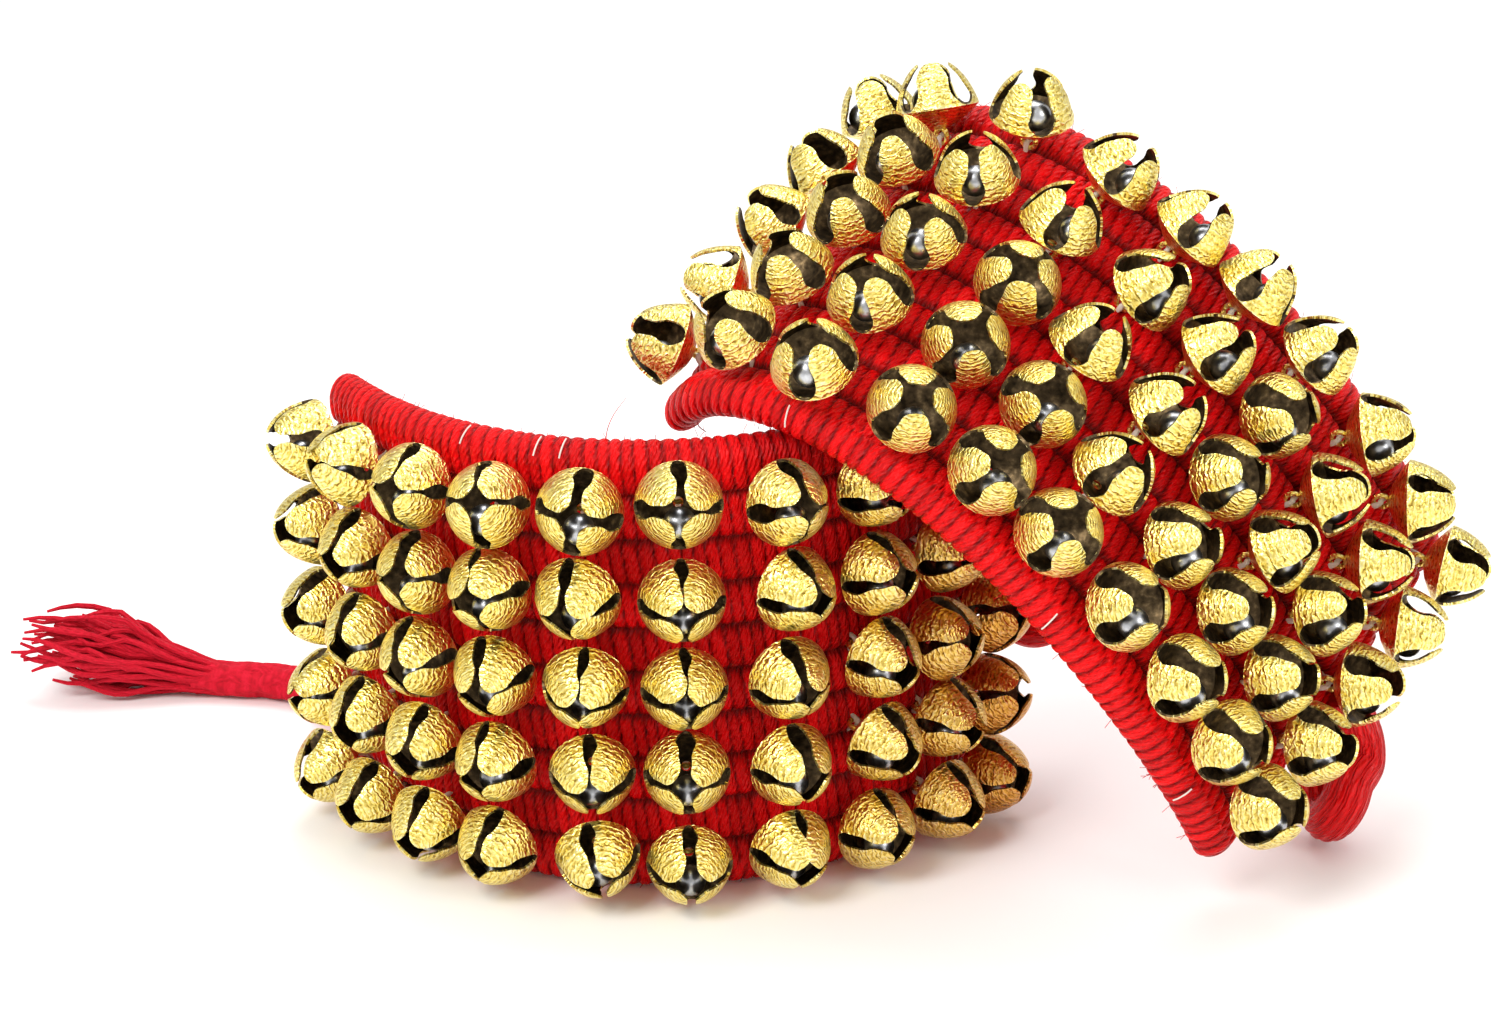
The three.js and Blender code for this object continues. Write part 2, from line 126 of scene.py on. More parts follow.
def add_node(tree, kind, inputs, **settings):
    """A node whose inputs are set, or linked where the value is another node's output."""
    made = tree.nodes.new("ShaderNode" + kind)
    for name, value in settings.items():
        setattr(made, name, value)
    for name, value in inputs.items():
        if isinstance(value, bpy.types.NodeSocket):
            tree.links.new(value, made.inputs[name])
        else:
            made.inputs[name].default_value = value
    return made


def ramp(tree, factor, stops):
    """A colour ramp: stops are pairs of a place from 0 to 1 and a colour."""
    made = add_node(tree, "ValToRGB", {"Fac": factor})
    elements = made.color_ramp.elements
    while len(elements) < len(stops):
        elements.new(0.5)
    for element, (place, colour) in zip(elements, stops):
        element.position = place
        element.color = (*colour, 1)
    return made.outputs["Color"]


def sums(tree, a, b, share):
    """a plus a share of b."""
    made = add_node(tree, "Math", {0: b, 1: share, 2: a}, operation="MULTIPLY_ADD")
    return made.outputs["Value"]


def relief(tree, shader, height, depth):
    """Bumps the shader's surface by a height from 0 to 1 that stands for depth metres."""
    bump = add_node(tree, "Bump", {"Height": height, "Distance": depth, "Strength": 1.0})
    tree.links.new(bump.outputs["Normal"], shader.inputs["Normal"])


# %% Piece helpers
WELD = 2e-5


def new_mesh():
    """An empty bmesh with a UV map."""
    bm = bmesh.new()
    bm.loops.layers.uv.new("UVMap")
    return bm


def patch(bm, across, along, place):
    """Adds a grid of quads, and puts each point where place(x, y) says, for x and y from 0 to 1.
    place gives the point and its UV, in millimetres of the real surface."""
    uv = bm.loops.layers.uv.active
    grid = bmesh.ops.create_grid(bm, x_segments=across, y_segments=along, size=0.5)["verts"]
    marks = {vert: place(vert.co.x + 0.5, vert.co.y + 0.5) for vert in grid}
    for face in {face for vert in grid for face in vert.link_faces}:
        for loop in face.loops:
            loop[uv].uv = marks[loop.vert][1]
    for vert, mark in marks.items():
        vert.co = mark[0]
    return grid


def path_frames(points):
    """For each point of a path, the point and two directions across it, turned as little as possible."""
    last = len(points) - 1
    tangents = [(points[min(i + 1, last)] - points[max(i - 1, 0)]).normalized() for i in range(last + 1)]
    side = tangents[0].orthogonal().normalized()
    frames = []
    for point, tangent in zip(points, tangents):
        side = (side - tangent * side.dot(tangent)).normalized()
        frames.append((point, side, tangent.cross(side)))
    return frames


def path_length(points):
    return sum((b - a).length for a, b in zip(points, points[1:]))


def smooth_path(points, steps):
    """A Catmull-Rom curve through the points, with so many steps between each two."""
    ends = [2 * points[0] - points[1], *points, 2 * points[-1] - points[-2]]
    path = []
    for a, b, c, d in zip(ends, ends[1:], ends[2:], ends[3:]):
        square, cube = 2 * a - 5 * b + 4 * c - d, 3 * b - a - 3 * c + d
        for k in range(steps):
            t = k / steps
            path.append(0.5 * (2 * b + (c - a) * t + square * t**2 + cube * t**3))
    return [*path, points[-1].copy()]


def tube(bm, points, radius, sides):
    """Wraps a grid round a path. radius(turn, share) gives the tube's radius there."""
    frames = path_frames(points)
    steps = len(points) - 1
    length = path_length(points)

    def place(x, y):
        centre, side, up = frames[round(y * steps)]
        angle = x * math.tau
        out = radius(angle, y)
        spot = centre + (side * math.cos(angle) + up * math.sin(angle)) * out
        return spot, (x * math.tau * out / MM, y * length / MM)

    return patch(bm, sides, steps, place)


def close_up(bm, merge=WELD):
    """Merges seams and fills open ends."""
    bmesh.ops.remove_doubles(bm, verts=bm.verts, dist=merge)
    open_edges = [edge for edge in bm.edges if edge.is_boundary]
    if open_edges:
        bmesh.ops.holes_fill(bm, edges=open_edges, sides=0)


def finish_piece(name, bm, finishes, body, stands_for=(), crease=50):
    """Makes the bmesh an object at the origin that rides on a body of the frame."""
    mesh = bpy.data.meshes.new(name)
    bm.to_mesh(mesh)
    bm.free()
    for finish in finishes:
        mesh.materials.append(finish)
    mesh.polygons.foreach_set("use_smooth", [True] * len(mesh.polygons))
    mesh.set_sharp_from_angle(angle=math.radians(crease))
    piece = bpy.data.objects.new(name, mesh)
    scene.collection.objects.link(piece)
    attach(piece, body)
    if stands_for:
        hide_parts(*stands_for)
    return piece


# %% Floor
floor_finish, _, floor_shader = new_finish("white_table")
floor_shader.inputs["Base Color"].default_value = (0.93, 0.925, 0.92, 1)
floor_shader.inputs["Roughness"].default_value = 0.6
floor_mesh = bmesh.new()
bmesh.ops.create_grid(floor_mesh, x_segments=1, y_segments=1, size=FLOOR_REACH)
floor_data = bpy.data.meshes.new("floor")
floor_mesh.to_mesh(floor_data)
floor_mesh.free()
floor_data.materials.append(floor_finish)
floor = bpy.data.objects.new("floor", floor_data)
scene.collection.objects.link(floor)

# %% [markdown]
# ## The tie cord and its tassel
# A braided cotton cord leaves the end of the standing band, drops to the table and ends in a frayed
# tassel. The cord is a tube whose radius swells where a strand of the braid comes up: two sets of
# strands wind opposite ways, and at each place the higher of the two shows.

# %% Crimson cotton
COTTON_RELIEF = 0.4 * MM


def crimson_cotton(name, line_scale):
    """Dull cotton with fibres that run along each strand."""
    material, tree, shader = new_finish(name)
    uv = add_node(tree, "TexCoord", {}).outputs["UV"]
    turned = add_node(tree, "Mapping", {"Vector": uv, "Scale": (*line_scale, 1)}).outputs["Vector"]
    fibres = add_node(tree, "TexNoise", {"Vector": turned, "Scale": 1.0, "Detail": 4.0}).outputs["Fac"]
    colours = [(0.25, (0.34, 0.003, 0.011)), (0.5, (0.54, 0.005, 0.020)), (0.75, (0.70, 0.012, 0.038))]
    tree.links.new(ramp(tree, fibres, colours), shader.inputs["Base Color"])
    shader.inputs["Roughness"].default_value = 0.85
    shader.inputs["Specular IOR Level"].default_value = 0.2
    relief(tree, shader, fibres, COTTON_RELIEF)
    return material


# %% Braided cord
TIE_ROUTE = [
    (-112.9, 25.5, 24),
    (-115.7, 30.7, 24),
    (-118.1, 35.8, 23),
    (-119.9, 40.9, 20.5),
    (-121, 45.4, 17.2),
    (-121.8, 49.8, 13.4),
    (-122.5, 54.1, 9.8),
    (-123.4, 58.6, 6.8),
    (-124.8, 63.5, 5.1),
    (-127.1, 68.3, 4.6),
    (-130.9, 71.5, 4.5),
    (-135.5, 73.9, 4.5),
    (-140.7, 75.7, 4.5),
    (-146.5, 76.9, 4.5),
    (-152.9, 78.1, 4.5),
    (-159.5, 79.5, 4.5),
]
TIE_DIAMETER = 8.6 * MM
TIE_STEPS = 12
TIE_SIDES = 32
BRAID_STRANDS = 4
BRAID_PITCH = 13 * MM
BRAID_DEPTH = 0.22

tie_path = smooth_path([Vector(point) * MM for point in TIE_ROUTE], TIE_STEPS)
tie_length = path_length(tie_path)
cotton = crimson_cotton("crimson_cotton", (0.5, 0.6))


def braid_radius(angle, share):
    """The cord's radius where its two sets of strands cross."""
    along = share * tie_length / BRAID_PITCH * math.tau
    right = math.cos((BRAID_STRANDS * angle + along) / 2) ** 2
    left = math.cos((BRAID_STRANDS * angle - along) / 2) ** 2
    return TIE_DIAMETER / 2 * (1 - BRAID_DEPTH * (1 - max(right, left)))


bm = new_mesh()
tube(bm, tie_path, braid_radius, TIE_SIDES)
close_up(bm)
tie = finish_piece("braided_tie", bm, [cotton], "standing", ["tie_cord"])
print("tie cord", round(tie_length / MM, 1), "mm")

# %% Frayed tassel
TASSEL_STRANDS = 72
TASSEL_LENGTH = 48 * MM
TASSEL_WIDTH = 12.5 * MM
TASSEL_HEIGHT = 9.5 * MM
TASSEL_IN = 3.6 * MM
STRAND_RADIUS = 0.75 * MM
STRAND_STEPS = 12
STRAND_START = 5 * MM
STRAND_WANDER = 1.9 * MM
STRAND_SIDES = 6
SHORTEST = 0.60
WANDER_PACE = (5, 12)
OPENING_PACE = 1.5
OPENING_POWER = 1.2
TIP_SHARE = 0.2
TIP_THINNING = 0.5
tassel_random = random.Random(7)


def strand_path(rng):
    """One yarn of the tassel: it leaves the cord's end, opens out and wanders to its own length."""
    start = tie_path[-1]
    away = (tie_path[-1] - tie_path[-4]).normalized()
    flat = Vector((away.y, -away.x, 0))
    angle = rng.uniform(0, math.tau)
    spread = math.sqrt(rng.random())
    length = TASSEL_LENGTH * rng.uniform(SHORTEST, 1.0)
    waves = [(rng.uniform(0, math.tau), rng.uniform(*WANDER_PACE)) for _ in range(2)]
    points = []
    for k in range(STRAND_STEPS + 1):
        t = k / STRAND_STEPS
        opened = min(1.0, OPENING_PACE * t) ** OPENING_POWER
        wide = TASSEL_IN + (TASSEL_WIDTH - TASSEL_IN) * opened
        high = TASSEL_IN + (TASSEL_HEIGHT - TASSEL_IN) * opened
        sideways, upwards = (STRAND_WANDER * math.sin(phase + pace * t) * t for phase, pace in waves)
        aside = spread * math.cos(angle) * wide + sideways
        point = start + away * (length * t - STRAND_START) + flat * aside
        middle = start.z + (TASSEL_HEIGHT - start.z) * opened
        point.z = max(middle + spread * math.sin(angle) * high + upwards, STRAND_RADIUS * 1.1)
        points.append(point)
    return points


def strand_radius(angle, share):
    """A strand thins out towards its tip."""
    return STRAND_RADIUS * (1 - TIP_THINNING * max(0.0, share - (1 - TIP_SHARE)) / TIP_SHARE)


bm = new_mesh()
for _ in range(TASSEL_STRANDS):
    tube(bm, strand_path(tassel_random), strand_radius, STRAND_SIDES)
close_up(bm)
strands = crimson_cotton("tassel_cotton", (2.5, 0.6))
tassel = finish_piece("frayed_tassel", bm, [strands], "standing", ["tassel"])
tuple(tie_path[0])
[tuple(point) for point in tie_path]

# %% [markdown]
# ## Where the columns are
# Ten threads cross each band, and each carries five bells. The frame holds one hinge for each thread
# or bell, so a column's place comes from its hinge: the axis runs across the band, and the way from
# the axis to the bells points away from the ankle.

# %% Column frames
ROWS = 5
COLUMNS = 10
ANKLETS = ("standing", "leaning")


def node_middle(name):
    points = [vert.co for vert in frame["nodes"][name].data.vertices]
    return sum(points, Vector()) / len(points)


def column_matrix(anklet, column):
    """X along the band, Y across it, Z away from the ankle, and the middle of the thread."""
    name = f"{anklet}_{column}"
    string = f"{name}_string"
    if string in frame["nodes"]:
        hinge = joints[f"{name}_swing"]
        middle = node_middle(string)
    else:
        hinge = joints[f"{name}_bell_3_swing"]
        middle = node_middle(f"{name}_bell_3")
    origin = Vector(hinge["pos_m"])
    across = Vector(hinge["axis"]).normalized()
    outward = middle - origin
    outward = (outward - across * outward.dot(across)).normalized()
    along = across.cross(outward)
    return Matrix.Translation(origin) @ Matrix((along, across, outward)).transposed().to_4x4()


def loose_column(anklet):
    """The one column whose bells and thread are nodes of their own."""
    return next(c for c in range(1, COLUMNS + 1) if f"{anklet}_{c}_thread" in frame["nodes"])


def across_band(anklet):
    """The direction across a band, which all its columns share."""
    return columns[anklet][0].col[1].xyz


columns = {anklet: [column_matrix(anklet, c) for c in range(1, COLUMNS + 1)] for anklet in ANKLETS}
loose = {anklet: loose_column(anklet) for anklet in ANKLETS}
first, second = (Vector(joints[f"standing_{loose['standing']}_bell_{r}_swing"]["pos_m"]) for r in (1, 2))
ROW_PITCH = (second - first).length
print("loose columns", loose, "row pitch", round(ROW_PITCH / MM, 2), "mm")


def loose_droop(anklet, row):
    """How far a loose bell leans towards the lower edge of its band, as the frame has it."""
    name = f"{anklet}_{loose[anklet]}_bell_{row}"
    local = columns[anklet][loose[anklet] - 1].inverted() @ node_middle(name)
    return math.atan2(((ROWS + 1) / 2 - row) * ROW_PITCH - local.y, local.z)


# %% [markdown]
# ## How the bells lean
# No two bells stand alike. They splay out from the middle of the band, and each settles a little to
# one side. The lists have a line for each row of bells and a place for each column, in degrees: droop
# tips a bell to the lower edge of its band, and swing tips it on to the next column.

# %% Leans of the bells
DROOP = {
    "standing": [
        [-15, -20, -15, -25, -10, 0, -8, 0, 0, 0],
        [-8, 5, -8, -2, 8, 0, 2, -6, -8, -8],
        [-2, 8, -2, 7, 8, 0, 4, 8, -18, -18],
        [-3, 10, 10, 4, 7, 0, 3, 15, 5, -20],
        [15, 10, 15, 8, 16, 0, 10, -2, 8, -12],
    ],
    "leaning": [
        [-15, -30, 0, -32, -35, -35, -26, -28, -25, -15],
        [-8, 5, 0, -22, -17, -30, 10, -28, -22, -20],
        [10, 5, 0, 15, -25, -25, 3, -25, -7, -15],
        [25, 6, 0, 20, 15, -15, -5, -1, -1, -3],
        [25, 18, 0, 18, 18, 18, 8, 7, 15, 8],
    ],
}
SWING = {
    "standing": [
        [7, 5, 20, 15, 10, 0, 8, 0, 0, 0],
        [12, 22, 22, 12, 0, 0, 18, 4, 0, 0],
        [16, 22, 18, 14, 8, 0, 6, 8, -5, -12],
        [16, 20, 18, 8, 14, 0, 6, 10, -3, -12],
        [16, 20, 18, 3, 18, 0, 2, -3, -4, -15],
    ],
    "leaning": [
        [20, -7, 0, 20, 9, -5, -5, 23, 25, 25],
        [8, 15, 0, 0, 15, 8, 5, 20, 22, 22],
        [10, 20, 0, 8, -3, 4, 0, 2, -4, 5],
        [-10, 12, 0, 8, 0, -3, 5, 0, -4, -6],
        [-5, 6, 0, 8, 5, -12, -1, 4, -1, -10],
    ],
}
BELL_MIDDLE = 9.0 * MM


def bell_lean(anklet, column, row):
    """A bell's droop and swing, and how far up its thread it slides to keep its middle in its row."""
    if column == loose[anklet]:
        return loose_droop(anklet, row), 0.0, 0.0
    droop, swing = (math.radians(table[anklet][row - 1][column - 1]) for table in (DROOP, SWING))
    return droop, swing, BELL_MIDDLE * math.sin(droop)


def eye_offset(anklet, column, row):
    return ((ROWS + 1) / 2 - row) * ROW_PITCH + bell_lean(anklet, column, row)[2]


def bell_place(anklet, column, row):
    """The middle of a bell's thread hole, with the bell's own lean."""
    droop, swing, _ = bell_lean(anklet, column, row)
    tilt = Matrix.Rotation(swing, 4, "Y") @ Matrix.Rotation(droop, 4, "X")
    return columns[anklet][column - 1] @ Matrix.Translation((0, eye_offset(anklet, column, row), 0)) @ tilt


# %% [markdown]
# ## The woven band
# The band is woven so tightly that only the red weft shows. It makes ten lengthwise ridges, two to a
# row of bells, and on each ridge the weft comes up in plump leaning beads that sit half a step on from
# those of the next ridge. The beads are real relief here: one grid is wrapped round the whole band,
# and each point rises by the height of its bead.

# %% Red yarn
PLY_SCALE = 0.36
PLY_SHARE = 0.35
FIBRE_SHARE = 0.40
PLAIN_SHADING = 0.6
PLAIN_SHADE = 0.5
LEAST_VALUE = 0.82
VALUE_SPAN = 0.36
YARN_RELIEF = 0.7 * MM


def red_yarn(name, line_scale, twist, woven=True):
    """Silky yarn with painted shade between the beads of a weave, and fibres that run along each strand."""
    material, tree, shader = new_finish(name)
    uv = add_node(tree, "TexCoord", {}).outputs["UV"]
    turned = add_node(tree, "Mapping", {"Vector": uv, "Rotation": (0, 0, twist), "Scale": (*line_scale, 1)})
    lines = {"Vector": turned.outputs["Vector"], "Scale": 1.0, "Detail": 3.0}
    noise = add_node(tree, "TexNoise", lines).outputs["Fac"]
    slanted = add_node(tree, "Mapping", {"Vector": uv, "Rotation": (0, 0, twist)}).outputs["Vector"]
    waves = {"Vector": slanted, "Scale": PLY_SCALE, "Distortion": 2.5, "Detail": 1.0, "Detail Scale": 1.5}
    plies = add_node(tree, "TexWave", waves).outputs["Fac"]
    fibres = sums(tree, noise, plies, PLY_SHARE)
    crown_shading = add_node(tree, "Attribute", {}, attribute_name="crown_shading").outputs["Fac"]
    shade = add_node(tree, "Attribute", {}, attribute_name="shade").outputs["Fac"]
    depth = sums(tree, crown_shading if woven else PLAIN_SHADING, fibres, FIBRE_SHARE)
    # Painted shade: near black where the crown shading is low in the grooves, bright red on the bead crowns.
    colours = [
        (0.20, (0.025, 0.000, 0.000)),
        (0.66, (0.34, 0.0004, 0.0010)),
        (1.00, (0.80, 0.002, 0.004)),
    ]
    colour = ramp(tree, depth, colours)
    value = sums(tree, LEAST_VALUE, shade if woven else PLAIN_SHADE, VALUE_SPAN)
    varied = add_node(tree, "HueSaturation", {"Color": colour, "Value": value})
    tree.links.new(varied.outputs["Color"], shader.inputs["Base Color"])
    shader.inputs["Roughness"].default_value = 0.34
    shader.inputs["Specular IOR Level"].default_value = 0.18
    relief(tree, shader, fibres, YARN_RELIEF)
    return material


# %% Band line
THREAD_LIFT = 5.6 * MM
BAND_END = 8 * MM
COLUMN_PITCH = 17.3 * MM


def band_station(anklet, s):
    """The band's middle, its direction and its outward direction, s columns along it."""
    frames = columns[anklet]
    points = [m.translation - m.col[2].xyz * THREAD_LIFT for m in frames]
    tangents = [m.col[0].xyz for m in frames]
    across = across_band(anklet)
    i = min(max(int(math.floor(s)), 1), COLUMNS - 1) - 1
    t = s - 1 - i
    pitch = (points[i + 1] - points[i]).length
    if 0 <= t <= 1:
        a, b = points[i], points[i + 1]
        da, db = tangents[i] * pitch, tangents[i + 1] * pitch
        point = a * (1 + 2 * t) * (1 - t) ** 2 + da * t * (1 - t) ** 2
        point = point + b * t * t * (3 - 2 * t) + db * t * t * (t - 1)
        along = a * (6 * t * t - 6 * t) + da * (1 - t) * (1 - 3 * t)
        along = along + b * (6 * t - 6 * t * t) + db * t * (3 * t - 2)
    else:
        end = 0 if t < 0 else 1
        turning = across.dot(tangents[i].cross(tangents[i + 1]))
        bend = tangents[i].angle(tangents[i + 1]) * math.copysign(1, turning)
        past = t - end
        half = Matrix.Rotation(bend * past / 2, 3, across)
        point = points[i + end] + half @ tangents[i + end] * pitch * past
        along = half @ half @ tangents[i + end]
    along = along.normalized()
    return point, along, along.cross(across)


# %% Woven bands
RIDGES = 2 * ROWS
RIDGE_PITCH = ROW_PITCH / 2
BAND_HALF_WIDTH = 48.5 * MM
CREST = 4.6 * MM
VALLEY = 2.7 * MM
INNER_CREST = 3.9 * MM
INNER_VALLEY = 2.5 * MM
BEADS = 66
STEPS_PER_BEAD = 6
STEPS_PER_RIDGE = 8
EDGE_STEPS = 14
EDGE_SLANT = 0.45
EDGE_SHADE = 0.80
EDGE_SWELL = 0.14
BEAD_LEAN = 0.5
BEAD_DRIFT = 0.18
DRIFT_PACE = 0.9
DRIFT_STEP = 2.4
BEAD_POWER = 2.4
BEAD_VARIES = 0.1
RIDGE_POWER = 2.6
RIDGE_ROUND = 0.6
LEAST_RISE = 0.35
# Painted shade: the crown shading left in the valleys between ridges.
VALLEY_SHADING = 0.25
GROOVE = 0.5 * MM
SECTION_RUN = 204
ROUND_END = 4 * MM
weave_random = random.Random(11)
face_steps = (RIDGES - 1) * STEPS_PER_RIDGE
section_steps = 2 * (face_steps + EDGE_STEPS)
crest_reach = (RIDGES - 1) / 2 * RIDGE_PITCH
edge_reach = BAND_HALF_WIDTH - crest_reach
first_s = 1 - BAND_END / COLUMN_PITCH
last_s = COLUMNS + BAND_END / COLUMN_PITCH
bead_table = {
    (side, ridge, bead): weave_random.random()
    for side in (0, 1)
    for ridge in range(RIDGES)
    for bead in range(-1, BEADS + 2)
}


def section_mark(step):
    """Where a step round the section is: side, ridge, place across and how far round an edge."""
    if step <= face_steps:
        return 0, step / STEPS_PER_RIDGE, 0.0, 0
    step -= face_steps
    if step < EDGE_STEPS:
        return 0, RIDGES - 1.0, step / EDGE_STEPS, 1
    step -= EDGE_STEPS
    if step <= face_steps:
        return 1, (face_steps - step) / STEPS_PER_RIDGE, 0.0, 0
    step -= face_steps
    return 1, 0.0, step / EDGE_STEPS, -1


def bead_height(side, ridge_place, along_beads, slant):
    """Heights of the bead and of its ridge, from 0 in the grooves to 1, and that bead's own shade."""
    ridge = min(max(round(ridge_place), 0), RIDGES - 1)
    off = 2 * abs(ridge_place - ridge)
    drift = BEAD_DRIFT * math.sin(DRIFT_PACE * along_beads + DRIFT_STEP * ridge)
    beads = along_beads + 0.5 * (ridge % 2) + slant + BEAD_LEAN * (ridge_place - ridge) + drift
    bead = math.floor(beads)
    draw = bead_table[side, ridge, min(max(bead, -1), BEADS + 1)]
    a = 2 * (beads - bead) - 1
    pillow = math.sqrt(max(0.0, 1 - abs(a) ** BEAD_POWER)) * (1 - BEAD_VARIES + BEAD_VARIES * draw)
    return pillow, max(0.0, 1 - off**RIDGE_POWER) ** RIDGE_ROUND, draw


def woven_band(anklet):
    """One grid wrapped round a band, with its beads."""
    bm = new_mesh()
    shading_layer = bm.verts.layers.float.new("crown_shading")
    shade_layer = bm.verts.layers.float.new("shade")
    along_steps = BEADS * STEPS_PER_BEAD
    spots = [first_s + (last_s - first_s) * k / along_steps for k in range(along_steps + 1)]
    stations = [band_station(anklet, s) for s in spots]
    across = across_band(anklet)
    length = path_length([station[0] for station in stations])
    # Each point's crown shading paints shade into the yarn: low in the grooves between beads and ridges.
    shading_marks = {}

    def place(x, y):
        k = round(x * along_steps)
        step = round(y * section_steps)
        point, _, outward = stations[k]
        side, ridge_place, bend, edge = section_mark(step % section_steps)
        slant = EDGE_SLANT * bend * (1 if edge > 0 else -1)
        pillow, ridge_height, draw = bead_height(side, ridge_place, x * BEADS, slant)
        to_end = min(x, 1 - x) * length
        rounding = math.sqrt(max(0.0, 1 - max(0.0, 1 - to_end / ROUND_END) ** 2))
        width = (ridge_place - (RIDGES - 1) / 2) * RIDGE_PITCH
        crest, valley = ((CREST, VALLEY), (INNER_CREST, INNER_VALLEY))[side]
        if edge:
            angle = math.pi * bend
            swell = 1 - EDGE_SWELL + EDGE_SWELL * pillow
            near = INNER_CREST if (math.cos(angle) < 0) == (edge > 0) else CREST
            width += edge * edge_reach * math.sin(angle) * swell * rounding
            height = near * math.cos(angle) * swell * edge
            # The edge wraps take a darker painted shade (EDGE_SHADE) on top of their beads' shade.
            shading_marks[x, y] = (pillow * EDGE_SHADE, draw)
        else:
            facing = 1 if side == 0 else -1
            rise = ridge_height * (LEAST_RISE + (1 - LEAST_RISE) * pillow)
            height = (valley + (crest - valley) * rise) * facing - GROOVE * (1 - pillow) * facing
            shading_marks[x, y] = (pillow * (VALLEY_SHADING + (1 - VALLEY_SHADING) * ridge_height), draw)
        spot = point + across * width + outward * height * rounding
        return spot, (x * length / MM, y * SECTION_RUN)

    grid = patch(bm, along_steps, section_steps, place)
    for vert, (crown_shading, draw) in zip(grid, shading_marks.values()):
        vert[shading_layer] = crown_shading
        vert[shade_layer] = draw
    bmesh.ops.remove_doubles(bm, verts=bm.verts, dist=WELD)
    return finish_piece(f"{anklet}_woven_band", bm, [yarn], anklet, [f"{anklet}_band"], crease=180)


yarn = red_yarn("woven_red_yarn", (2.6, 0.4), 0.4)
for anklet in ANKLETS:
    band = woven_band(anklet)
    print(band.name, len(band.data.polygons), "faces")

# %% [markdown]
# ## Brass bells
# Each bell is stamped from one star of thin rippled brass. Its middle is drawn into a shallow cup, and
# the four points are folded in over a pellet as petals with round tips, which leaves a cross of slits.
# A quarter of the bell is one grid: the lower rows share their sides with the next quarter and make
# the cup, and above the rim the grid narrows to a petal. No two bells are bent alike, so each is made
# with its own seeded draws. The last columns of the standing anklet sit under the red band and look
# coppery, so their brass gets a brown tint: painted shade from that band and a painted red reflection.

# %% Brass finishes
RIPPLE_SCALE = 0.25
RIPPLE_BASE = -0.14
LINE_SHARE = 0.36
PATCH_SHARE = 1.1
WORN_SHARE = 0.3
BRASS_RELIEF = 0.30 * MM
# Painted shade and red reflection: the copper-brown that shaded bells' brass is multiplied by.
SHADE_AND_REFLECTION_TINT = (0.72, 0.40, 0.24, 1)
STAIN_SCALE = 700.0
STAIN_RELIEF = 0.1 * MM


def stamped_brass():
    """Yellow brass with short wavy ripples that are brown in their hollows, and bright worn edges."""
    material, tree, shader = new_finish("stamped_brass")
    uv = add_node(tree, "TexCoord", {}).outputs["UV"]
    waves = {"Vector": uv, "Scale": RIPPLE_SCALE, "Distortion": 6.5, "Detail": 1.0, "Detail Scale": 3.0}
    lines = add_node(tree, "TexWave", waves, bands_direction="Y").outputs["Fac"]
    patches = add_node(tree, "TexNoise", {"Vector": uv, "Scale": 0.9, "Detail": 2.0}).outputs["Fac"]
    ripples = sums(tree, sums(tree, RIPPLE_BASE, lines, LINE_SHARE), patches, PATCH_SHARE)
    edge = add_node(tree, "Attribute", {}, attribute_name="edge").outputs["Fac"]
    colours = [
        (0.22, (0.27, 0.145, 0.020)),
        (0.40, (0.72, 0.53, 0.105)),
        (0.62, (0.96, 0.79, 0.215)),
        (1.00, (1.00, 0.93, 0.52)),
    ]
    clean = ramp(tree, sums(tree, ripples, edge, WORN_SHARE), colours)
    # Painted shade and a painted red reflection, as strong as each bell's layer says.
    painted_shade = add_node(tree, "Attribute", {}, attribute_name="painted_shade").outputs["Fac"]
    shade_mix = {"Fac": painted_shade, "Color1": clean, "Color2": SHADE_AND_REFLECTION_TINT}
    shaded_colour = add_node(tree, "MixRGB", shade_mix, blend_type="MULTIPLY").outputs["Color"]
    tree.links.new(shaded_colour, shader.inputs["Base Color"])
    shader.inputs["Metallic"].default_value = 1.0
    shader.inputs["Roughness"].default_value = 0.30
    relief(tree, shader, ripples, BRASS_RELIEF)
    return material


def stained_shaded_bronze():
    """The bell's inside: real stains over dark browns that are painted shade."""
    material, tree, shader = new_finish("stained_shaded_bronze")
    place = add_node(tree, "TexCoord", {}).outputs["Object"]
    stains = add_node(tree, "TexNoise", {"Vector": place, "Scale": STAIN_SCALE, "Detail": 4.0}).outputs["Fac"]
    # Stains over a base darkened as painted shade deep inside the bell.
    colours = [(0.3, (0.030, 0.019, 0.009)), (0.55, (0.125, 0.084, 0.041)), (0.75, (0.36, 0.245, 0.12))]
    tree.links.new(ramp(tree, stains, colours), shader.inputs["Base Color"])
    shader.inputs["Metallic"].default_value = 0.9
    shader.inputs["Roughness"].default_value = 0.38
    relief(tree, shader, stains, STAIN_RELIEF)
    return material


def polished_steel():
    """The pellets: grey steel with faint smears."""
    material, tree, shader = new_finish("polished_steel")
    place = add_node(tree, "TexCoord", {}).outputs["Object"]
    smears = add_node(tree, "TexNoise", {"Vector": place, "Scale": STAIN_SCALE, "Detail": 3.0}).outputs["Fac"]
    colours = [(0.3, (0.34, 0.345, 0.36)), (0.7, (0.62, 0.63, 0.65))]
    tree.links.new(ramp(tree, smears, colours), shader.inputs["Base Color"])
    shader.inputs["Metallic"].default_value = 1.0
    shader.inputs["Roughness"].default_value = 0.32
    return material


brass = stamped_brass()
bronze = stained_shaded_bronze()
steel = polished_steel()

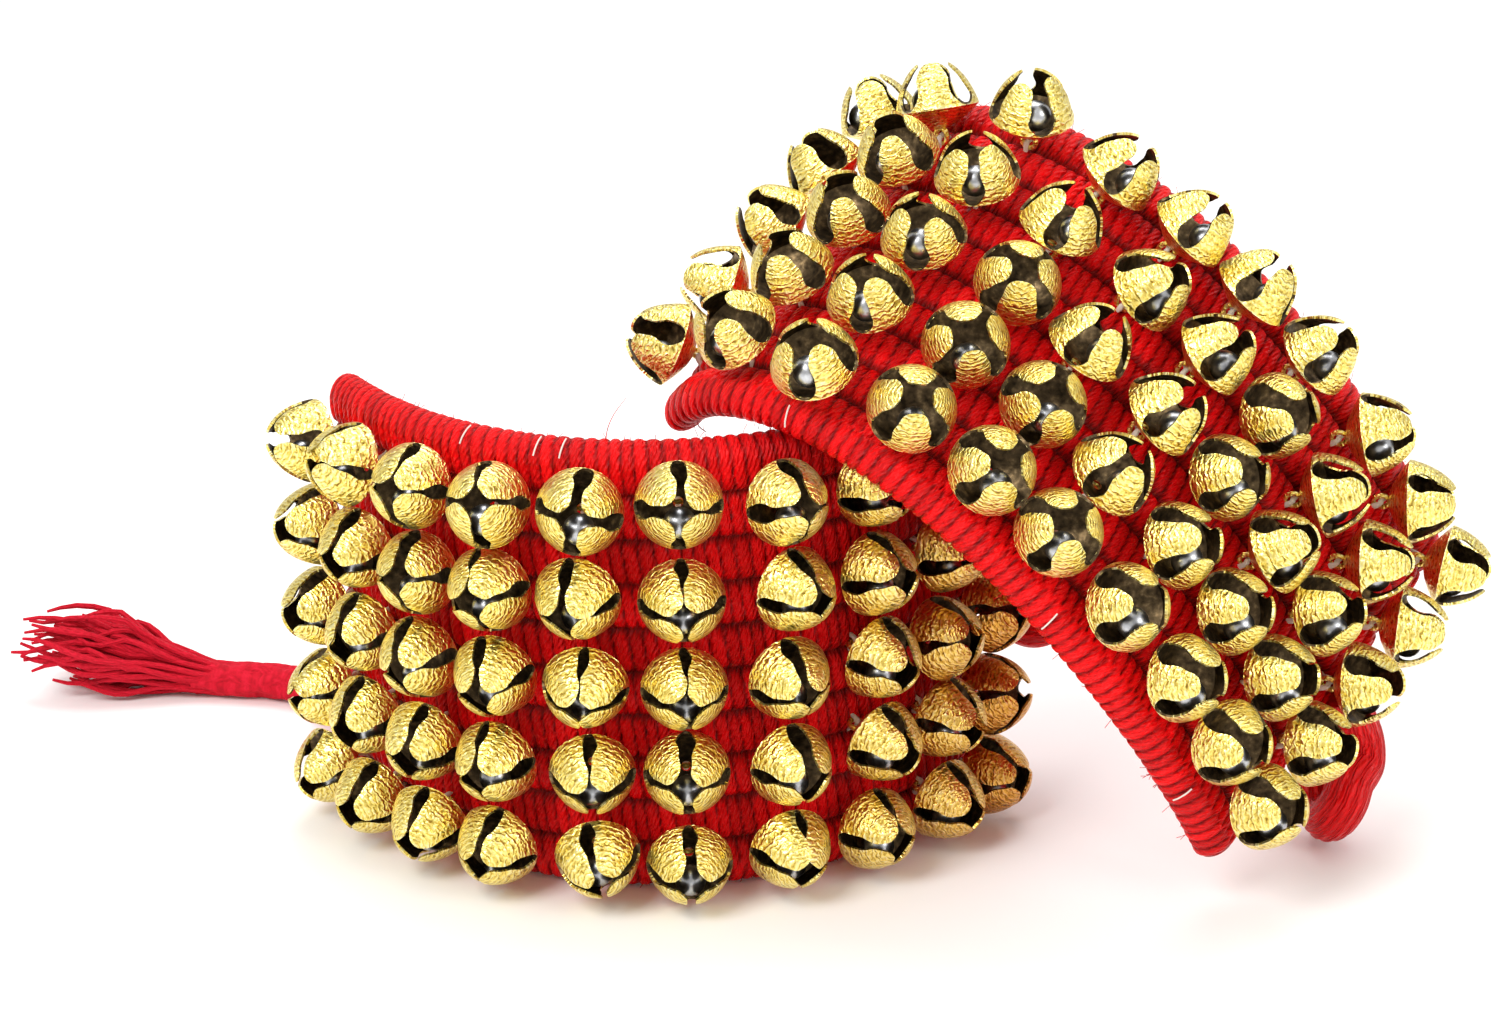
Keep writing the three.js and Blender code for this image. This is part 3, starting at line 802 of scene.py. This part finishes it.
# %% One bell
BELL_RADIUS = 8.8 * MM
CUP_FOOT = 1.2 * MM
CUP_RISE = 1.5 * MM
RIM_HEIGHT = 5.9 * MM
DOME_HEIGHT = 10.3 * MM
FOLD = math.radians(22)
SHEET = 0.5 * MM
PETALS = 4
PETAL_ACROSS = 10
CUP_ROWS = [0.0, 0.3, 0.6, 0.85, 0.96]
PETAL_ROWS = [0.0, 0.02, 0.05, 0.09, 0.14, 0.22, 0.32, 0.42]
PETAL_ROWS += [0.52, 0.62, 0.70, 0.78, 0.85, 0.91, 0.96, 1.0]
CUP_CURVE = 1.45
CUP_RUN = 9.0
PETAL_RUN = 13.0
SLIT_ROUND = 0.20
TIP_START = 0.45
PETAL_WAVE = 0.05
WAVE_PACE = 14
WAVE_START = 60
SIDE_WORN = 0.4
SHEET_REACH = 90
WIDTH_SPREAD = (0.90, 1.09)
TIP_SPREAD = (-6, 3)
LIFT_SPREAD = (-0.02, 0.08)
SKEW_SPREAD = (-0.15, 0.15)
SHAPES = {
    "standing": {"base": 5.0 * MM, "taper": 0.40, "least_slit": 0.5 * MM, "tip": 77},
    "leaning": {"base": 3.9 * MM, "taper": 0.20, "least_slit": 0.8 * MM, "tip": 72},
}


def petal_half_width(v, radius, shape):
    """Half the petal's width: a tongue with a round tip, which starts at the slit's round end."""
    room = radius * math.pi / PETALS
    tongue = shape["base"] * (1 - shape["taper"] * v)
    if v > TIP_START:
        tongue *= math.sqrt(max(0.0, 1 - ((v - TIP_START) / (1 - TIP_START)) ** 2))
    opening = math.sqrt(min(1.0, v / SLIT_ROUND))
    return min(room + (tongue - room) * opening, room - shape["least_slit"] / 2 * opening)


def float_layer(bm, name):
    """The points' layer of that name, which is made when it isn't there yet."""
    layers = bm.verts.layers.float
    return layers.get(name) or layers.new(name)


def add_bell(bm, place_matrix, roll, shape, painted_shade, rng):
    """One bell on its thread, facing +Z before it is placed."""
    levels = [(c, None) for c in CUP_ROWS] + [(1.0, v) for v in PETAL_ROWS]
    shift = Vector((rng.uniform(0, SHEET_REACH), rng.uniform(0, SHEET_REACH)))
    edge, brown = (float_layer(bm, name) for name in ("edge", "painted_shade"))
    made = []
    for petal in range(PETALS):
        own = {**shape, "base": shape["base"] * rng.uniform(*WIDTH_SPREAD)}
        tip = math.radians(shape["tip"] + rng.uniform(*TIP_SPREAD))
        lift = rng.uniform(*LIFT_SPREAD)
        skew = rng.uniform(*SKEW_SPREAD)
        centre = (petal + 0.5) * math.tau / PETALS
        worn = []

        def place(x, y):
            level = round(y * (len(levels) - 1))
            on_side = round(x * PETAL_ACROSS) % PETAL_ACROSS == 0 and level > len(CUP_ROWS)
            worn.append(1.0 if level == len(CUP_ROWS) else SIDE_WORN * on_side)
            cup, v = levels[level]
            if v is None:
                radius = CUP_FOOT + (BELL_RADIUS - CUP_FOOT) * cup
                height = CUP_RISE + (RIM_HEIGHT - CUP_RISE) * cup**CUP_CURVE
                half = math.pi / PETALS
                run = cup * CUP_RUN
                v = 0.0
            else:
                bend = FOLD + v * (tip - FOLD)
                radius = BELL_RADIUS * math.cos(bend) / math.cos(FOLD) * (1 + lift * v)
                folded = (math.sin(bend) - math.sin(FOLD)) / (1 - math.sin(FOLD))
                height = RIM_HEIGHT + DOME_HEIGHT * folded
                wave = math.sin(WAVE_PACE * v + WAVE_START * skew)
                wavy = 1 + PETAL_WAVE * min(1.0, v / SLIT_ROUND) * wave
                half = petal_half_width(v, radius, own) / radius * wavy
                run = CUP_RUN + v * PETAL_RUN
            angle = roll + centre + (2 * x - 1) * half + skew * v
            spot = Vector((radius * math.cos(angle), radius * math.sin(angle), height))
            return spot, shift + Vector(((2 * x - 1) * half * radius / MM, run))

        grid = patch(bm, PETAL_ACROSS, len(levels) - 1, place)
        for vert, mark in zip(grid, worn):
            vert[edge] = mark
        made += grid
    bmesh.ops.remove_doubles(bm, verts=made, dist=WELD)
    sheet = list({face for vert in made if vert.is_valid for face in vert.link_faces})
    bmesh.ops.recalc_face_normals(bm, faces=sheet)
    inside = bmesh.ops.solidify(bm, geom=sheet, thickness=SHEET)["geom"]
    walls = {vert for face in sheet for vert in face.verts}
    walls |= {vert for vert in inside if isinstance(vert, bmesh.types.BMVert)}
    # Each point of the sheet carries its column's amount of painted shade.
    for vert in walls:
        vert[brown] = painted_shade
    heart = Vector((0, 0, RIM_HEIGHT))
    # Faces that look into the bell take the inside finish, whose darkness is painted shade.
    for face in {face for vert in walls for face in vert.link_faces}:
        face.normal_update()
        face.material_index = int(face.normal.dot(face.calc_center_median() - heart) < 0)
    bmesh.ops.transform(bm, matrix=place_matrix, verts=list(walls))
    add_eye(bm, place_matrix)


EYE_RADIUS = 1.7 * MM
EYE_WIRE = 0.55 * MM
WIRE_SIDES = 6
RING_STEPS = 12
WIRE_RUN = 3
RING_RUN = 10


def add_eye(bm, place_matrix):
    """The ring of brass wire at the bell's back, round the thread."""

    def place(x, y):
        out = EYE_RADIUS + EYE_WIRE * math.cos(x * math.tau)
        turn = y * math.tau
        spot = Vector((out * math.cos(turn), -EYE_WIRE * math.sin(x * math.tau), out * math.sin(turn)))
        return place_matrix @ spot, (x * WIRE_RUN, y * RING_RUN)

    ring = patch(bm, WIRE_SIDES, RING_STEPS, place)
    bmesh.ops.remove_doubles(bm, verts=ring, dist=WELD)


# %% Strings of bells
ROLL_SPREAD = 16
PELLET_RADIUS = 3.2 * MM
PELLET_OFFSET = 3.17 * MM
PELLET_HEIGHT = 7.6 * MM
PELLET_SIDES = 18
PELLET_RINGS = 10
BELL_CREASE = 40
# How much painted shade and red reflection each column's brass gets: the last standing columns lie in the
# leaning band's shadow.
SHADED_COLUMNS = {"standing": {8: 0.2, 9: 0.5, 10: 0.85}, "leaning": {}}
bell_random = random.Random(23)


def low_side(place_matrix):
    """The way down across a bell's axis, in the bell's own directions."""
    down = place_matrix.to_3x3().transposed() @ Vector((0, 0, -1))
    return Vector((down.x, down.y, 0)).normalized()


def add_pellet(bm, place_matrix):
    """A pellet that rests at the low side of its bell."""
    spot = low_side(place_matrix) * PELLET_OFFSET + Vector((0, 0, PELLET_HEIGHT))
    centre = place_matrix @ Matrix.Translation(spot)
    sides = {"u_segments": PELLET_SIDES, "v_segments": PELLET_RINGS}
    bmesh.ops.create_uvsphere(bm, **sides, radius=PELLET_RADIUS, matrix=centre)


bells_made = 0
for anklet in ANKLETS:
    for column in range(1, COLUMNS + 1):
        name = f"{anklet}_{column}"
        whole = column != loose[anklet]
        groups = [range(1, ROWS + 1)] if whole else [[row] for row in range(1, ROWS + 1)]
        for rows in groups:
            bells, pellets = new_mesh(), new_mesh()
            for row in rows:
                spot = bell_place(anklet, column, row)
                roll = math.radians(bell_random.uniform(-ROLL_SPREAD, ROLL_SPREAD))
                if not whole:
                    down = low_side(spot)
                    roll = math.atan2(down.y, down.x)
                painted_shade = SHADED_COLUMNS[anklet].get(column, 0.0)
                add_bell(bells, spot, roll, SHAPES[anklet], painted_shade, bell_random)
                add_pellet(pellets, spot)
                bells_made += 1
            tag = "" if whole else f"_{rows[0]}"
            node = f"{name}_string" if whole else f"{name}_bell{tag}"
            finish_piece(f"{name}_brass{tag}", bells, [brass, bronze], node, [node], BELL_CREASE)
            ball = node if whole else f"{name}_pellet{tag}"
            finish_piece(f"{name}_steel{tag}", pellets, [steel], ball, [] if whole else [ball])
print(bells_made, "bells")

# %% [markdown]
# ## Threads, end loops and loose fibres
# A white thread goes through the eyes of each column and hides in the weave between them, so it only
# shows behind a bell that is seen from the side. A few cut ends lie over the edges. A fat wrapped loop
# closes each band, and short fibres stand off its edges, with one long hair on the standing band.

# %% Threads
THREAD_RADIUS = 0.62 * MM
THREAD_LENGTH = 91 * MM
THREAD_TURNS = 26
THREAD_DIP = 3.6 * MM
EYE_REACH = 1.2 * MM
EYE_DIP = 0.3 * MM
DIP_REACH = 3.2 * MM
PLY_DEPTH = 0.28
THREAD_STEPS = 6
THREAD_SIDES = 8
THREAD_DIVE = [
    (-DIP_REACH, THREAD_DIP),
    (-EYE_REACH, EYE_DIP),
    (0, 0),
    (EYE_REACH, EYE_DIP),
    (DIP_REACH, THREAD_DIP),
]


def white_cotton():
    material, _, shader = new_finish("white_cotton")
    shader.inputs["Base Color"].default_value = (0.72, 0.67, 0.61, 1)
    shader.inputs["Roughness"].default_value = 0.85
    return material


def ply_radius(angle, share):
    """Two plies twisted together."""
    ply = abs(math.cos(angle - THREAD_TURNS * math.pi * share))
    return THREAD_RADIUS * (1 - PLY_DEPTH + PLY_DEPTH * ply)


def thread_line(anklet, column):
    """The thread goes straight through each eye and dips into the weave between two bells."""
    points = [Vector((0, -THREAD_LENGTH / 2, -THREAD_DIP))]
    for row in range(ROWS, 0, -1):
        eye = eye_offset(anklet, column, row)
        points += [Vector((0, eye + reach, -dip)) for reach, dip in THREAD_DIVE]
    points.append(Vector((0, THREAD_LENGTH / 2, -THREAD_DIP)))
    return smooth_path(points, THREAD_STEPS)


cotton_thread = white_cotton()
for anklet in ANKLETS:
    for column in range(1, COLUMNS + 1):
        name = f"{anklet}_{column}"
        whole = column != loose[anklet]
        bm = new_mesh()
        line = [columns[anklet][column - 1] @ point for point in thread_line(anklet, column)]
        tube(bm, line, ply_radius, THREAD_SIDES)
        close_up(bm)
        body = f"{name}_string" if whole else anklet
        nodes = [] if whole else [f"{name}_thread"]
        finish_piece(f"{name}_white_thread", bm, [cotton_thread], body, nodes)

# %% Stray ends of thread
STRAY_RADIUS = 0.17 * MM
STRAY_LENGTH = 2.6 * MM
STRAY_SIDES = 6
STRAY_STEPS = 5
STRAY_PLACES = (-0.5, -0.2, 0.2, 0.5)
STRAY_TURN = 0.9
STRAY_SWEEP = 0.8
STRAY_SLANT = 0.2
STRAY_ASIDE = 1.04
STRAY_PROUD = 1.1
STRAYS = {"standing": [(3.5, 1), (4.45, 1), (4.75, 1)], "leaning": [(2.9, -1), (6.6, -1), (9.3, -1)]}

for anklet, places in STRAYS.items():
    bm = new_mesh()
    for s, edge in places:
        point, along, outward = band_station(anklet, s)
        across = across_band(anklet) * edge
        line = []
        for t in STRAY_PLACES:
            turn = STRAY_TURN + STRAY_SWEEP * t
            aside = crest_reach + edge_reach * math.sin(turn) * STRAY_ASIDE
            out = across * aside + outward * CREST * math.cos(turn) * STRAY_PROUD
            line.append(point + along * STRAY_LENGTH * t * STRAY_SLANT + out)
        tube(bm, smooth_path(line, STRAY_STEPS), lambda angle, share: STRAY_RADIUS, STRAY_SIDES)
    close_up(bm)
    finish_piece(f"{anklet}_stray_thread", bm, [cotton_thread], anklet)

# %% End loops
LOOP_RADIUS = 5 * MM
LOOP_HALF = 5.6 * MM
LOOP_TWIST = {"standing": math.radians(50), "leaning": math.radians(-25)}
LOOP_STRAIGHT = 7.3 * MM
LOOP_BEND = 23.5 * MM
LOOP_STARTS = -4 * MM
LOOP_RIBS = 14
RIB_DEPTH = 0.03
RIB_TWIST = 5
LOOP_STEPS = 8
LOOP_SIDES = 56
LEG_PLACES = (0, 0.35, 0.7, 1)
BEND_TURNS = (45, 90, 135)
LOOP_FALL = {"standing": (0.12, 0.73, -0.68), "leaning": (0.14, 0.34, -0.9)}


def loop_line(anklet):
    """The middle of the loop: two legs side by side and the bend between them."""
    point, along, outward = band_station(anklet, last_s)
    across = across_band(anklet)
    a, o, c = LOOP_FALL[anklet]
    fall = (along * a + outward * o + across * c).normalized()
    start = point + along * LOOP_STARTS
    corner = start + along * LOOP_STRAIGHT
    knee = corner + along * LOOP_BEND / 2
    end = knee + fall * LOOP_BEND / 2

    def leg(t):
        tangent = ((knee - corner) * (1 - t) + (end - knee) * t).normalized()
        middle = corner * (1 - t) ** 2 + knee * 2 * t * (1 - t) + end * t * t
        side = across.cross(tangent).normalized()
        return middle, Matrix.Rotation(LOOP_TWIST[anklet] * t, 3, tangent) @ side

    stations = [(start, leg(0)[1]), *[leg(t) for t in LEG_PLACES]]
    turns = [math.radians(angle) for angle in BEND_TURNS]
    aside = stations[-1][1]
    bend = [end + aside * LOOP_HALF * math.cos(t) + fall * LOOP_HALF * math.sin(t) for t in turns]
    there = [middle + side * LOOP_HALF for middle, side in stations]
    back = [middle - side * LOOP_HALF for middle, side in reversed(stations)]
    return smooth_path(there + bend + back, LOOP_STEPS)


def loop_radius(angle, share):
    """Shallow ribs of yarn that wind slowly round the loop."""
    return LOOP_RADIUS * (1 - RIB_DEPTH + RIB_DEPTH * math.cos(LOOP_RIBS * angle + RIB_TWIST * share))


loop_yarn = red_yarn("loop_red_yarn", (2.2, 0.3), 0.15, woven=False)
for anklet in ANKLETS:
    bm = new_mesh()
    tube(bm, loop_line(anklet), loop_radius, LOOP_SIDES)
    close_up(bm)
    finish_piece(f"{anklet}_yarn_loop", bm, [loop_yarn], anklet, [f"{anklet}_end_loop"])

# %% Loose fibres
FIBRES = 200
FIBRE_RADIUS = 0.07 * MM
FIBRE_SIDES = 3
FIBRE_LENGTH = (0.8, 2.8)
FIBRE_TURN = 1.2
FIBRE_BEND = 0.7
FIBRE_PLACES = (0, 0.33, 0.66, 1)
END_MARGIN = 0.3
ROOT_ASIDE = 0.8
ROOT_OUT = 0.9
FLOOR_GAP = 0.2 * MM
FIBRE_WELD = 1e-6
HAIR_PLACE = 5.2
HAIR_LENGTH = 10 * MM
HAIR_RADIUS = 0.15 * MM
HAIR_ROOT = 0.97
HAIR_LEAN = 0.45
HAIR_THINNING = 0.6
HAIR_STEPS = 3
HAIR_SIDES = 4
fibre_random = random.Random(31)


def fibre_line(anklet, rng):
    """A short bent hair that stands off the upper or lower edge of a band."""
    edge = rng.choice((-1, 1))
    s = rng.uniform(first_s + END_MARGIN, last_s - END_MARGIN)
    point, along, outward = band_station(anklet, s)
    across = across_band(anklet) * edge
    turn = rng.uniform(-FIBRE_TURN, FIBRE_TURN)
    out = across * math.cos(turn) + outward * math.sin(turn)
    aside = crest_reach + edge_reach * ROOT_ASIDE * math.cos(turn)
    root = point + across * aside + outward * CREST * ROOT_OUT * math.sin(turn)
    lean = along * rng.uniform(-1, 1)
    curl = along.cross(out) * rng.uniform(-1, 1)
    length = rng.uniform(*FIBRE_LENGTH) * MM
    points = [root + (out * t + (lean + curl) * t * t * FIBRE_BEND) * length for t in FIBRE_PLACES]
    for spot in points:
        spot.z = max(spot.z, FLOOR_GAP)
    return points


def long_hair():
    """The one long hair that stands up from the upper edge of the standing band."""
    point, along, _ = band_station("standing", HAIR_PLACE)
    up = across_band("standing")
    root = point + up * BAND_HALF_WIDTH * HAIR_ROOT
    points = [root + (up * t + along * HAIR_LEAN * t * t) * HAIR_LENGTH for t in FIBRE_PLACES]
    return smooth_path(points, HAIR_STEPS)


for anklet in ANKLETS:
    bm = new_mesh()
    for _ in range(FIBRES):
        tube(bm, fibre_line(anklet, fibre_random), lambda angle, share: FIBRE_RADIUS, FIBRE_SIDES)
    if anklet == "standing":
        tube(bm, long_hair(), lambda angle, share: HAIR_RADIUS * (1 - HAIR_THINNING * share), HAIR_SIDES)
    close_up(bm, FIBRE_WELD)
    finish_piece(f"{anklet}_fibres", bm, [loop_yarn], anklet)
